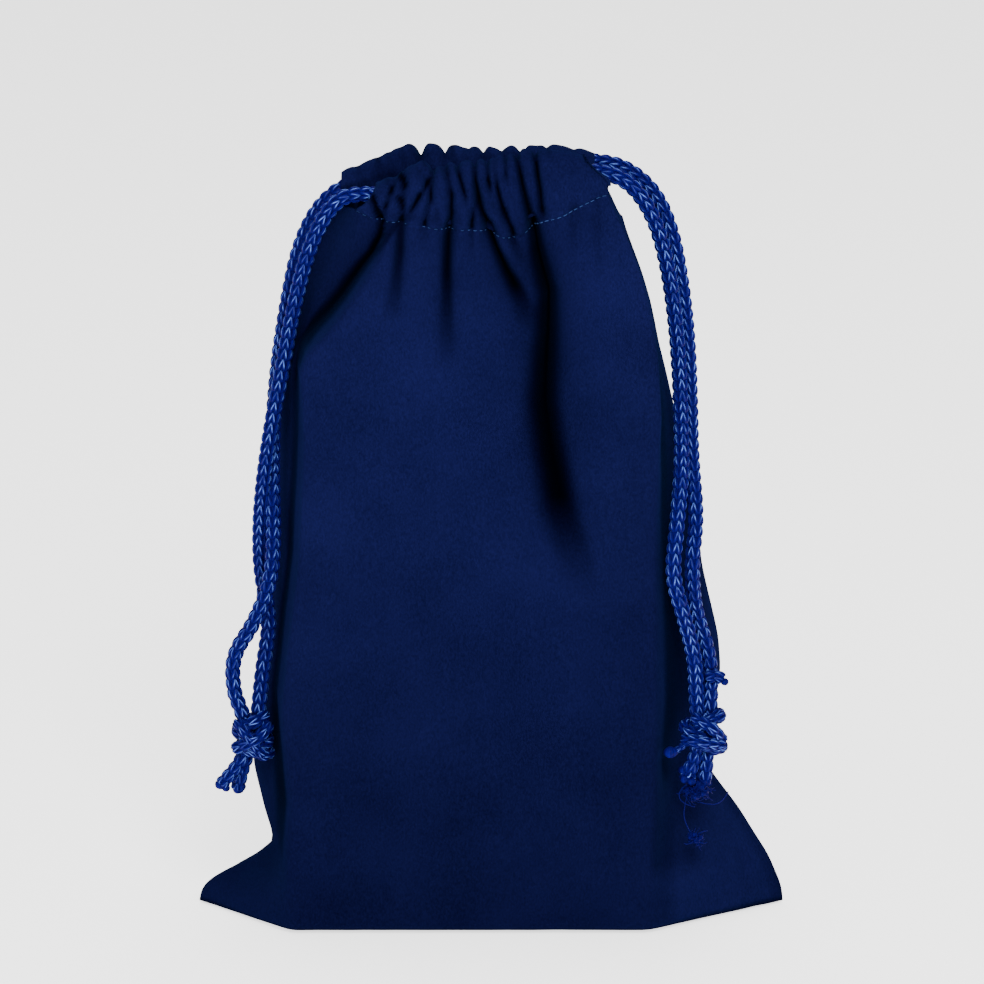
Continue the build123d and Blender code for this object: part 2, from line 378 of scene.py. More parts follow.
def knit_into(mesh, points, diameter=KNIT_DIAMETER, taper=None, phase=0.0):
    """Adds a knitted round cord along a line: columns of V stitches, each with two fat legs."""
    sides, ups = frames_along(points)
    along = distances_along(points)
    total = along[-1]
    scale = diameter / KNIT_DIAMETER
    size = np.full(len(points), scale) if taper is None else taper(along) * scale
    core = tube_rings(points, sides, ups, size * CORE_RADIUS, size * CORE_RADIUS, 10)
    mesh.add(core, length_scale=0.0)
    pitch = STITCH_PITCH * (0.5 + 0.5 * scale)
    t = np.linspace(0.0, 1.0, LEG_STEPS)
    for row in range(int(total / pitch) + 2):
        for column in range(STITCH_COLUMNS):
            for hand in (-1, 1):
                s = np.clip(row * pitch - t * pitch * STITCH_OVERLAP + 0.07 * hand, 0.0, total)
                if s[0] - s[-1] < pitch * 0.5:
                    continue
                local = np.interp(s, along, size)
                angle = phase + 2 * math.pi * column / STITCH_COLUMNS + hand * (0.10 + 0.52 * t)
                outward = unit(np.cos(angle)[:, None] * read_at(s, along, sides)
                               + np.sin(angle)[:, None] * read_at(s, along, ups))
                reach = (LEG_RADIUS + LEG_RISE) * local
                centres = read_at(s, along, points) + outward * reach[:, None]
                course = unit(np.gradient(centres, axis=0))
                across = unit(np.cross(course, outward))
                rings = tube_rings(centres, across, np.cross(across, course), LEG_WIDTH * local * 0.82,
                                   (0.16 + 0.40 * LEG_WIDTH) * local, LEG_SEGMENTS)
                mesh.add(rings, length_scale=1.0 / (LEG_STEPS - 1))


# The strands repeat the part's own routes, and start further in, inside the casings.
LEFT_FRONT_ROUTE = [
    (-41.0, -10.0, 254.4), (-47.2, -9.7, 254.6), (-53.0, -8.4, 251.2),
    (-58.4, -7.8, 243.0), (-63.0, -8.6, 231.4), (-67.4, -10.2, 213.6), (-71.0, -12.6, 194.0),
    (-75.0, -13.8, 173.6), (-77.6, -12.6, 156.2), (-79.2, -9.8, 138.6), (-79.0, -9.4, 121.6),
    (-75.6, -12.2, 105.8), (-78.2, -14.8, 90.4), (-79.6, -16.4, 78.0), (-80.4, -16.8, 69.0),
]
LEFT_BACK_ROUTE = [
    (-41.0, 10.0, 254.0), (-47.0, 9.7, 254.0), (-53.6, 7.8, 251.4),
    (-60.6, 4.2, 244.2), (-66.0, -0.6, 232.0), (-69.6, -3.8, 214.0), (-72.8, -6.4, 193.6),
    (-74.4, -7.6, 173.8), (-74.8, -9.0, 156.0), (-74.2, -13.6, 139.2), (-74.8, -18.6, 122.6),
    (-80.6, -20.6, 107.4), (-88.6, -19.4, 95.4), (-88.4, -18.4, 82.0), (-85.6, -17.8, 75.0),
    (-84.0, -17.4, 69.0),
]
RIGHT_FRONT_ROUTE = [
    (30.0, -10.0, 262.4), (37.0, -9.8, 262.4), (46.0, -8.8, 258.8), (52.8, -7.6, 250.0),
    (57.4, -7.6, 238.6), (61.0, -9.0, 221.0), (63.2, -12.8, 201.2), (64.2, -17.4, 181.6),
    (64.6, -22.2, 162.4), (62.8, -29.4, 143.6), (61.0, -33.6, 127.4), (65.4, -31.6, 112.6),
    (69.4, -28.6, 96.6), (69.8, -28.2, 82.6), (70.6, -27.8, 74.0),
]
RIGHT_BACK_ROUTE = [
    (30.0, 10.0, 261.4), (37.0, 9.6, 261.8), (46.8, 7.8, 259.4), (55.8, 4.6, 251.8),
    (61.4, -0.2, 239.4), (64.8, -2.8, 221.6), (66.9, -7.2, 202.0), (67.6, -12.2, 182.0),
    (68.0, -16.6, 163.0), (69.8, -23.6, 145.2), (67.8, -28.4, 129.4), (69.0, -25.4, 113.4),
    (74.4, -23.6, 97.0), (75.0, -25.6, 84.0), (74.4, -26.6, 74.0),
]
LEFT_LOOP_ROUTE = [
    (-41.0, -10.0, 254.4), (-30.0, -10.0, 253.2), (-4.0, -10.0, 252.9), (16.0, -10.0, 253.8),
    (27.0, -9.4, 255.0), (31.5, -4.5, 255.0), (31.5, 4.5, 255.0), (27.0, 9.4, 255.0),
    (16.0, 10.0, 253.8), (-4.0, 10.0, 252.9), (-30.0, 10.0, 253.2), (-41.0, 10.0, 254.0),
]
RIGHT_LOOP_ROUTE = [
    (30.0, -10.0, 262.4), (20.0, -10.0, 261.0), (2.0, -10.0, 259.4), (-14.0, -10.0, 259.0),
    (-22.0, -9.4, 258.6), (-27.6, -6.2, 257.8), (-29.4, 0.0, 255.8), (-27.6, 6.2, 257.8),
    (-22.0, 9.4, 258.6), (-14.0, 10.0, 259.0), (2.0, 10.0, 259.4), (20.0, 10.0, 260.6),
    (30.0, 10.0, 261.4),
]


def rigid_cord(mesh, name, node, body):
    """A piece of cord that moves with one body, in place of the part's own."""
    made = dress(mesh.build(name), cord_yarn)
    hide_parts(node)
    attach(made, body)
    return made


def line_length(points):
    """Length of a line of points."""
    return float(np.linalg.norm(np.diff(points, axis=0), axis=1).sum())


def make_strand(side, which, route, phase):
    """One hanging strand, from inside its casing down into its knot."""
    points = nurbs_points(route)
    mesh = TubeMesh()
    knit_into(mesh, points, phase=phase)
    strand = dress(mesh.build(f"{side}_{which}_strand"), cord_yarn)
    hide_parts(f"{side}_tail_{which}_strand")
    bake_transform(strand)


def make_loop(side, route, phase):
    """The part of a drawcord that runs through both casings and turns back at the far vent."""
    mesh = TubeMesh()
    knit_into(mesh, nurbs_points(route), phase=phase)
    rigid_cord(mesh, f"{side}_cord_in_casings", f"{side}_cord_loop", f"{side}_cord")


def coil_points(centre, radii, start, turns, climb, lean):
    """A line that winds round a knot's core and dives into it at both ends."""
    steps = np.linspace(0.0, 1.0, int(160 * turns))
    angle = start + 2 * math.pi * turns * steps
    dive = 1.0 - 0.5 * (1 - smoothstep(steps, 0.0, 0.12)) - 0.5 * smoothstep(steps, 0.88, 1.0)
    x = centre[0] + radii[0] * dive * np.cos(angle)
    y = centre[1] + radii[1] * dive * np.sin(angle)
    z = centre[2] + climb * (steps - 0.5) + lean * np.cos(angle + 0.4)
    return even_points(np.stack([x, y, z], axis=1), 0.45)


def make_knot(name, centre, coils, straps, node, body):
    """A pulled-tight knot: turns of the doubled cord round its core, one part crossing over."""
    mesh = TubeMesh()
    for offset, radii, start, turns, climb, lean, diameter in coils:
        middle = tuple(c + o for c, o in zip(centre, offset))
        line = coil_points(middle, radii, start, turns, climb, lean)
        knit_into(mesh, line, diameter=diameter, phase=start)
    for route, diameter in straps:
        line = nurbs_points([tuple(c + o for c, o in zip(centre, p)) for p in route], 0.45)
        knit_into(mesh, line, diameter=diameter)
    return rigid_cord(mesh, name, node, body)


def bead_into(mesh, centre, radius, seed):
    """A small fused bead at the end of a cut cord."""
    chance = random.Random(seed)
    rows, segments = 9, 12
    wobble = [1 + chance.uniform(-0.16, 0.16) for _ in range(segments)]
    rings = []
    for row in range(rows):
        lean = -math.pi / 2 + math.pi * (row + 0.15) / (rows - 0.7)
        ring = []
        for k in range(segments):
            turn = 2 * math.pi * k / segments
            reach = radius * math.cos(lean) * wobble[k]
            ring.append((centre[0] + reach * math.cos(turn), centre[1] + reach * math.sin(turn),
                         centre[2] + radius * 0.85 * math.sin(lean)))
        rings.append(ring)
    mesh.add(np.array(rings), length_scale=0.05)


FILAMENT_RADIUS = 0.13
THREAD_RADIUS = 0.17


def thread_into(mesh, line, radius, segments):
    """One bare thread along a line."""
    sides, ups = frames_along(line)
    thin = np.full(len(line), radius)
    mesh.add(tube_rings(line, sides, ups, thin, thin, segments), length_scale=0.02)


def fray_into(mesh, root, heading, count, reach, spread, seed):
    """Loose filaments that leave a cut end in a tuft and curl over."""
    chance = random.Random(seed)
    heading = np.array(heading, float) / np.linalg.norm(heading)
    for _ in range(count):
        way = heading + np.array([chance.gauss(0, spread) for _ in range(3)])
        way /= np.linalg.norm(way)
        sideways = np.cross(way, [chance.gauss(0, 1) for _ in range(3)])
        sideways /= np.linalg.norm(sideways)
        length = reach * chance.uniform(0.35, 1.0)
        turned = chance.uniform(1.2, 3.4)
        start = np.array(root, float) + np.array([chance.uniform(-1.8, 1.8) for _ in range(3)])
        t = np.linspace(0.0, turned, 10)[:, None]
        line = start + (way * np.sin(t) + sideways * (1 - np.cos(t))) * length / turned * 1.3
        thread_into(mesh, line, FILAMENT_RADIUS, 5)


def make_cut_end(name, route, node, body, seed, diameter=5.2, beads=((0, 0, 0, 1.9),), flare=0.0):
    """A short cord end below a knot, with its melted tip."""
    mesh = TubeMesh()
    points = nurbs_points(route, 0.45)
    total = line_length(points)

    def taper(along):
        return 1.0 + flare * smoothstep(along, total * 0.3, total)

    knit_into(mesh, points, diameter=diameter, taper=taper, phase=seed * 0.7)
    for index, (dx, dy, dz, radius) in enumerate(beads):
        bead_into(mesh, points[-1] + np.array([dx, dy, dz]), radius, seed * 10 + index)
    return rigid_cord(mesh, name, node, body)


LEFT_KNOT = (-82.5, -17.2, 66.2)
RIGHT_KNOT = (72.0, -27.4, 70.9)

left_knot = make_knot(
    "left_overhand_knot", LEFT_KNOT,
    [((0.0, 0.0, 4.0), (4.5, 3.5), 0.6, 1.2, 2.6, 2.0, 5.2),
     ((0.5, 0.0, -0.4), (5.1, 4.0), 2.6, 1.15, -2.4, -1.9, 5.4),
     ((1.4, 0.0, -4.6), (4.5, 3.5), 3.6, 1.15, -1.8, -2.2, 5.0)],
    [([(6.0, -2.4, 4.4), (4.4, -6.0, 1.6), (-0.6, -6.8, -0.8), (-5.4, -4.0, -3.8)], 4.8),
     ([(-4.6, -3.0, 5.6), (-2.6, -6.2, 3.4), (2.0, -6.4, -3.0), (4.8, -3.2, -6.6)], 4.4),
     ([(2.2, 0.4, 6.4), (1.2, 0.6, 0.0), (-1.6, 0.4, -6.6)], 6.0)],
    "left_knot", "left_tail")
right_knot = make_knot(
    "right_overhand_knot", RIGHT_KNOT,
    [((1.6, 0.0, 3.6), (4.4, 3.5), 2.2, 1.2, 2.4, 1.9, 5.2),
     ((-0.6, 0.0, -0.6), (5.0, 3.9), 0.4, 1.15, -2.0, -1.6, 5.4),
     ((1.4, 0.0, -4.0), (5.0, 3.6), 5.2, 1.2, 1.8, -1.2, 5.2)],
    [([(-6.0, -2.6, -2.4), (-3.4, -6.2, -1.6), (1.6, -6.8, -2.6), (6.4, -2.8, -4.2)], 4.8),
     ([(-3.0, -3.4, 5.6), (0.6, -6.2, 4.6), (4.4, -5.8, 1.6), (6.6, -2.0, -2.6)], 4.6),
     ([(1.0, 0.4, 6.4), (0.6, 0.6, 0.0), (0.2, 0.4, -6.4)], 6.0)],
    "right_knot", "right_tail")

left_end_a = make_cut_end(
    "left_cut_end_a",
    [(-83.8, -18.4, 62.0), (-86.2, -19.2, 57.0), (-89.6, -19.2, 52.6), (-92.4, -19.0, 49.4)],
    "left_end_a", "left_tail", 3, beads=((-0.6, 0, -0.4, 2.1), (1.4, -0.6, -1.6, 1.5)))
left_end_b = make_cut_end(
    "left_cut_end_b",
    [(-82.6, -16.0, 61.6), (-84.8, -16.4, 56.2), (-86.2, -16.2, 51.0), (-87.2, -15.8, 46.8)],
    "left_end_b", "left_tail", 4, beads=((0, 0, -0.4, 2.1), (1.5, -0.8, 0.6, 1.4)))
right_end_a = make_cut_end(
    "right_cut_end_a",
    [(70.4, -28.8, 66.4), (69.6, -29.4, 62.0), (68.0, -30.2, 58.4), (67.2, -30.6, 55.6)],
    "right_end_a", "right_tail", 5, flare=0.1,
    beads=((-1.2, -0.8, -0.8, 1.8), (1.2, -1.2, -1.6, 1.6), (-1.6, 0.4, 2.0, 1.7)))
right_end_b = make_cut_end(
    "right_cut_end_b",
    [(73.4, -27.0, 66.6), (73.8, -27.4, 61.6), (73.2, -28.0, 56.8), (72.6, -28.4, 53.6)],
    "right_end_b", "right_tail", 6, flare=0.1,
    beads=((0.8, -1.0, -0.6, 1.8), (-1.4, -1.4, -1.2, 1.7), (1.6, 0.2, 2.2, 1.4)))
right_end_tip = make_cut_end(
    "right_side_end",
    [(67.4, -30.0, 68.2), (65.2, -32.0, 66.6), (63.0, -33.6, 65.6), (61.6, -34.4, 65.2)],
    "right_end_tip", "right_tail", 7, diameter=2.4, beads=((-0.6, 0, 0, 2.3),))


def make_loose_yarn():
    """Frayed yarn at the right knot: a fuzzy tuft, stray loops, a clump on a thread, a nub."""
    mesh = TubeMesh()
    fray_into(mesh, (68.8, -31.0, 51.4), (0.0, -0.2, -1.0), 90, 5.4, 0.6, 11)
    fray_into(mesh, (72.2, -29.8, 51.8), (0.1, -0.2, -1.0), 60, 4.6, 0.6, 13)
    for seed, (place, radius) in enumerate([
            ((67.4, -31.2, 50.4), 1.5), ((70.0, -31.6, 48.8), 1.7), ((72.6, -30.4, 49.6), 1.5),
            ((71.4, -31.0, 51.6), 1.6), ((68.4, -31.8, 34.0), 1.1), ((70.2, -31.4, 32.8), 1.3),
            ((69.4, -32.2, 35.0), 0.9), ((71.6, -31.6, 33.8), 0.9)]):
        bead_into(mesh, place, radius, 20 + seed)
    for route in (
        [(67.2, -31.0, 50.0), (65.6, -32.0, 44.0), (66.2, -32.0, 39.0), (68.8, -31.4, 34.4)],
        [(71.0, -31.0, 46.4), (75.4, -32.2, 45.4), (79.4, -31.2, 46.8), (81.0, -30.4, 50.0)],
        [(67.0, -31.4, 53.0), (63.6, -33.0, 51.0), (64.8, -33.0, 46.4), (69.6, -32.2, 45.0)],
        [(70.6, -31.4, 34.6), (72.4, -32.0, 36.6), (74.0, -31.6, 36.2)],
        [(69.0, -31.4, 32.4), (67.0, -32.0, 31.0), (66.0, -31.8, 31.8)],
    ):
        thread_into(mesh, nurbs_points(route, 0.6), THREAD_RADIUS, 6)
    fray_into(mesh, (69.6, -31.6, 34.0), (0.2, 0.0, -1.0), 70, 3.0, 1.0, 12)
    nub = nurbs_points([(73.6, -27.0, 89.6), (76.4, -27.8, 91.0), (78.6, -28.0, 89.4)], 0.45)
    knit_into(mesh, nub, diameter=4.6)
    bead_into(mesh, (79.6, -28.2, 88.4), 1.5, 31)
    return rigid_cord(mesh, "right_loose_yarn", "right_frayed_yarn", "right_tail")


loose_yarn = make_loose_yarn()

for side, which, route, phase, on_it in (
    ("left", "front", LEFT_FRONT_ROUTE, 0.0, [left_knot, left_end_a]),
    ("left", "back", LEFT_BACK_ROUTE, 1.1, [left_end_b]),
    ("right", "front", RIGHT_FRONT_ROUTE, 2.3, [right_knot, right_end_a, loose_yarn, right_end_tip]),
    ("right", "back", RIGHT_BACK_ROUTE, 3.7, [right_end_b]),
):
    make_strand(side, which, route, phase)
make_loop("left", LEFT_LOOP_ROUTE, 0.4)
make_loop("right", RIGHT_LOOP_ROUTE, 1.9)


# ------------------------------------------------------------------ cloth

# The standing bag's outline: side seams and creases at each height.
LEFT_SEAM = table([(0, -101.6), (4, -101.2), (8, -98.4), (13, -89), (19, -76.6), (24, -75.6),
    (34, -78.6), (44, -81.0), (51, -82.4), (65, -82.0), (85, -79.0), (105, -76.6), (120, -75.0),
    (140, -73.8), (155, -73.4), (173, -73.2), (184, -72.2), (200, -69.2), (218, -65.3), (235, -57),
    (246, -50)], 2.2)
RIGHT_SEAM = table([(0, 101.4), (5, 101.0), (17.6, 95.8), (22.6, 92.6), (33, 86.4), (37, 83.6),
    (47, 76.0), (54, 72.4), (62, 73.8), (72, 77.4), (84, 79.0), (96, 78.2), (122, 72.2), (154, 68),
    (179, 62), (200, 57), (215, 54), (225, 51), (240, 45.5), (252, 42)], 2.2)
FRONT_OUTLINE = {
    "left_x": table([(0, -69), (20, -70.6), (46, -70.2), (81, -71.4), (104, -68.8), (131, -65.4),
        (173, -63.0), (190, -64.2), (198, -64.8), (203, -62.8), (208.5, -56.6), (214.3, -51.4),
        (219.6, -47.2), (227.8, -41.2), (233.5, -36.8), (244, -28.6)], 1.0),
    "left_depth": table([(0, 36), (130, 34.5), (155, 34.5), (180, 33.4), (196, 32), (206, 30.6),
        (216, 28), (226, 24.4), (235, 20.6), (244, 16.8)], 3.0),
    "right_x": table([(0, 54), (20, 55.4), (52, 55.8), (150, 56.0), (180, 57.6), (200, 56.8),
        (209, 54.8), (218, 52.8), (226, 50.0), (235, 45.2), (244, 39.2)], 2.0),
    "right_depth": table([(0, 36), (130, 35), (180, 33), (200, 30.6), (218, 26), (232, 20.5),
        (244, 15.0)], 4.0),
}
BACK_OUTLINE = {
    "left_x": table([(0, -69), (20, -71), (120, -69), (180, -67.5), (200, -64.5), (218, -57.5),
        (232, -50), (244, -44)], 4.0),
    "left_depth": table([(0, 36), (155, 34.5), (180, 33), (200, 31), (218, 27), (232, 21.8),
        (244, 17)], 4.0),
    "right_x": table([(0, 56), (20, 57.5), (155, 58), (180, 57), (200, 54), (218, 48.5), (232, 42),
        (244, 36)], 4.0),
    "right_depth": table([(0, 36), (130, 35), (180, 33), (200, 31), (218, 27), (232, 21.5),
        (244, 16.6)], 4.0),
}

# Folds where the cloth tucks inwards. Each has how crisp its right side is, and then its
# height, place across, depth and half width at points along it.
FRONT_FOLDS = [
    (3.0, [(186, -66.6, 0, 2.6), (194, -66.4, 3.2, 2.8), (203, -63.6, 5.2, 3.4),
        (208.5, -59.2, 6.6, 3.8), (214.3, -54.2, 7.6, 4.2), (219.6, -49.8, 8.0, 4.2),
        (227.8, -43.8, 7.6, 3.8), (233.5, -39.7, 6.8, 3.2), (239, -37.0, 6.0, 2.6),
        (244, -36.4, 5.0, 2.0), (249, -37.4, 4.0, 1.9), (254, -39.4, 2.4, 1.8),
        (259, -41.0, 1.0, 1.8)]),
    (1.3, [(214, -33.5, 0, 3.6), (224, -32, 2.6, 3.0), (236, -30.6, 4.4, 2.4), (246, -30.2, 3.8, 2.0),
        (254, -29.6, 2.4, 1.8), (264, -29.4, 1.8, 1.7)]),
    (1.3, [(198, -14.9, 0, 4.6), (214, -14.8, 2.8, 3.6), (230, -14.7, 5.4, 2.8), (242, -14.4, 5.4, 2.2),
        (249, -13.4, 3.2, 1.8), (256, -13.2, 2.6, 1.6), (265, -15.8, 1.6, 1.7)]),
    (1.3, [(210, 13.8, 0, 5.0), (221, 10.6, 3.4, 4.0), (230, 6.8, 7.0, 3.4), (240, 1.6, 7.2, 2.5),
        (251, -3.4, 5.0, 1.7), (261, -5.4, 4.0, 1.5), (268, -5.8, 2.6, 1.4)]),
    (1.1, [(108, 33.6, 0, 9), (132, 29.4, 2.2, 9), (150, 23.8, 5.4, 9.4), (168, 20.8, 8.4, 8.8),
        (186, 18.0, 10.8, 8.4), (203, 18.6, 11.8, 6.8), (213, 19.2, 12.4, 5.6), (222, 19.4, 12.4, 4.7),
        (230, 17.4, 11.4, 4.3), (237, 15.6, 9.8, 3.5), (243, 14.6, 7.8, 2.6), (249, 12.8, 5.8, 2.0),
        (259, 10.4, 5.0, 1.6), (270, 8.4, 3.6, 1.5)]),
    (1.3, [(244, 17.6, 0, 2.2), (250, 17.2, 3.2, 2.0), (256, 16.6, 4.6, 1.7), (263, 15.6, 4.8, 1.5),
        (271, 14.6, 3.4, 1.5)]),
    (1.3, [(255, -0.2, 0, 1.4), (260, -0.9, 3.0, 1.2), (267, -1.4, 2.4, 1.2)]),
    (1.3, [(234, 11, 0, 2.2), (243, 7.4, 2.8, 1.7), (252, 3.6, 3.8, 1.4), (258, 2.0, 3.4, 1.2),
        (264, 1.4, 1.0, 1.2)]),
    (1.3, [(245, -37.0, 0, 1.6), (250, -36.0, 2.8, 1.4), (257, -33.8, 2.6, 1.3),
        (263, -31.4, 1.2, 1.4)]),
    (1.3, [(244, -29, 0, 1.7), (250, -27.2, 2.0, 1.5), (257, -23.0, 2.6, 1.4), (265, -18.8, 1.0, 1.4)]),
    (1.3, [(252, -8.0, 0, 1.3), (257, -9.2, 2.8, 1.2), (264, -11.4, 3.0, 1.2)]),
    (1.3, [(258, 5.2, 0, 1.2), (263, 4.9, 2.4, 1.1), (270, 4.6, 2.2, 1.1)]),
    (1.3, [(236, -23, 0, 2.6), (246, -22.4, 2.0, 2.0), (254, -20.6, 2.2, 1.6), (262, -19.8, 1.8, 1.5)]),
    (1.3, [(232, -6, 0, 2.4), (243, -6.8, 1.8, 1.6), (250, -6.0, 1.8, 1.3), (256, -5.0, 0.4, 1.3)]),
    (2.4, [(14, -72.6, 0, 3.4), (28, -72.2, 4.2, 4.0), (46, -71.2, 6.0, 5.0), (64, -72.4, 5.4, 4.2),
        (81, -74.0, 5.0, 3.0), (104, -71.4, 4.6, 2.4), (131, -68.2, 4.6, 2.2), (173, -65.8, 3.8, 2.2),
        (192, -65.6, 3.4, 2.4), (201, -66.4, 0, 2.6)]),
    (0.6, [(8, 57, 0, 4), (24, 58, 3.4, 6), (48, 59, 3.0, 6), (80, 60, 0, 6)]),
]
BACK_FOLDS = [
    (1.2, [(196, -26, 0, 5), (222, -25, 3.4, 3.2), (244, -24.4, 5.0, 2.0), (262, -24.0, 6.6, 1.8),
        (272, -23.8, 6.6, 1.8)]),
    (1.2, [(214, -16, 0, 4), (236, -15.8, 3.8, 2.2), (252, -15.7, 3.8, 1.6), (272, -15.7, 3.8, 1.5)]),
    (1.2, [(224, -9, 0, 3), (244, -8.2, 2.6, 1.7), (272, -7.6, 1.0, 1.2)]),
    (1.2, [(206, -2, 0, 4), (230, -2.4, 4.2, 2.6), (250, -2.6, 3.4, 1.7), (272, -2.7, 2.8, 1.2)]),
    (1.2, [(216, 5, 0, 4), (240, 4.2, 4.0, 2.0), (272, 3.4, 1.8, 1.4)]),
    (1.2, [(170, 16, 0, 10), (206, 14, 4.4, 5.0), (232, 12, 6.0, 2.8), (250, 11, 4.0, 1.8),
        (272, 10.4, 2.6, 1.5)]),
    (1.2, [(214, 22, 0, 5), (238, 20, 3.8, 2.4), (256, 19, 2.8, 1.7), (272, 18.6, 1.6, 1.6)]),
    (1.2, [(226, -35, 0, 4), (246, -34.6, 2.6, 2.2), (260, -34.2, 1.6, 2.0), (272, -34, 0.6, 2.0)]),
    (1.2, [(230, 29, 0, 4), (250, 28.4, 2.0, 2.0), (272, 27.8, 0.8, 2.0)]),
]

# The height of each casing's stitched lower edge and of its folded top edge.
FRONT_STITCH_Z = table([(-47, 249.4), (-40.6, 246.6), (-32, 245.4), (-27, 244.8), (-16.4, 243),
    (-3, 242.8), (6, 239.6), (11, 241.2), (16.6, 245.2), (23.8, 247.2), (31, 251.2),
    (38, 254.8)], 1.6, -60.0, 60.0)
FRONT_TOP_Z = table([(-42, 256.6), (-36, 259.6), (-31, 262.4), (-27.4, 264.8), (-23.6, 266.4),
    (-19.3, 264.2), (-15, 264.9), (-8, 266.4), (-1.2, 266.8), (4.6, 268.2), (8.4, 269.6), (16, 270.2),
    (23.8, 269.8), (29, 268.6), (34, 266)], 1.2, -60.0, 60.0)
BACK_STITCH_Z = table([(-48, 249), (-30, 246), (0, 244), (20, 246), (38, 251)], 3.0, -60.0, 60.0)
BACK_TOP_Z = table([(-51, 257.6), (-28, 268.0), (-20, 267.2), (-11, 266.8), (0, 266.4), (20, 267.4),
    (30, 266.4), (38, 263)], 0.8, -60.0, 60.0)

COLUMNS_LEFT, COLUMNS_FRONT, COLUMNS_RIGHT = 34, 160, 34
RIGHT_CREASE = COLUMNS_LEFT + COLUMNS_FRONT
LAST_COLUMN = RIGHT_CREASE + COLUMNS_RIGHT
VENT_LEFT = 15  # the column where the left flank's edge ends and the casing begins
VENT_RIGHT = RIGHT_CREASE + 4
TOP_LEVEL = 244.0  # of the face's last row, before the stitch line lifts it
LEFT_VENT = (-46.2, 13.6)  # place across and depth
RIGHT_VENT = (38.9, 12.8)
HALF_DEPTH = 36.0
ROLL_RADIUS = 3.2
FLOOR_HEIGHT = CLOTH_THICKNESS * 0.9
FLOOR_ROWS = 9
CASING_ROWS = 42
FRONT_ENDS = (-39.0, 31.0)  # of a casing, left and right
BACK_ENDS = (-51.0, 35.0)
CASING_BULGE = 7.2
AXIS_Y = 10.0  # of the cords inside the casings
CORD_ROOM = 3.2  # from there to a casing's walls


def fold_push(folds, x, z):
    """How far the folds pull the cloth in and sideways at a place, and how much painted shade it gets.
    """
    push = np.zeros_like(x)
    slide = np.zeros_like(x)
    unshaded_share = np.ones_like(x)
    for crisp, fold in folds:
        heights = [p[0] for p in fold]
        centre = np.interp(z, heights, [p[1] for p in fold])
        depth = np.interp(z, heights, [p[2] for p in fold], left=0.0)
        width = np.interp(z, heights, [p[3] for p in fold])
        t = (x - centre) / width
        lopsided = np.where(t > 0, t * crisp, t * 0.85)
        dip = np.exp(-np.abs(lopsided) ** 1.5)
        brim = np.exp(-(t / 2.6) ** 2)
        push += depth * (dip - 0.24 * brim)
        slide -= 0.36 * width * t * dip * np.minimum(depth / 4.0, 1.0)
        # Painted shade: each fold's core, and more faintly its surround, is painted darker.
        unshaded_share *= 1 - np.minimum(depth / 6.0, 1.0) * np.exp(-np.abs(lopsided * 1.2) ** 4.0)
        unshaded_share *= 1 - np.minimum(depth / 12.0, 1.0) * 0.4 * np.exp(-(lopsided / 2.2) ** 2)
    return push, slide, 1 - unshaded_share


def cloth_noise(x, z, scale, seed, tall=1.25):
    """Even unevenness over the cloth, in -1 to 1, its lumps so many times taller than wide."""
    flat = np.stack([x.ravel() / scale, z.ravel() / (scale * tall)], axis=1)
    values = [noise.noise(Vector((p[0] + seed, p[1] - seed, seed))) for p in flat]
    return np.array(values).reshape(x.shape)


def soften_across(values, passes):
    """Averages each value of a grid with its neighbours across, ends held."""
    for _ in range(passes):
        values[:, 1:-1] = 0.25 * values[:, :-2] + 0.5 * values[:, 1:-1] + 0.25 * values[:, 2:]
    return values


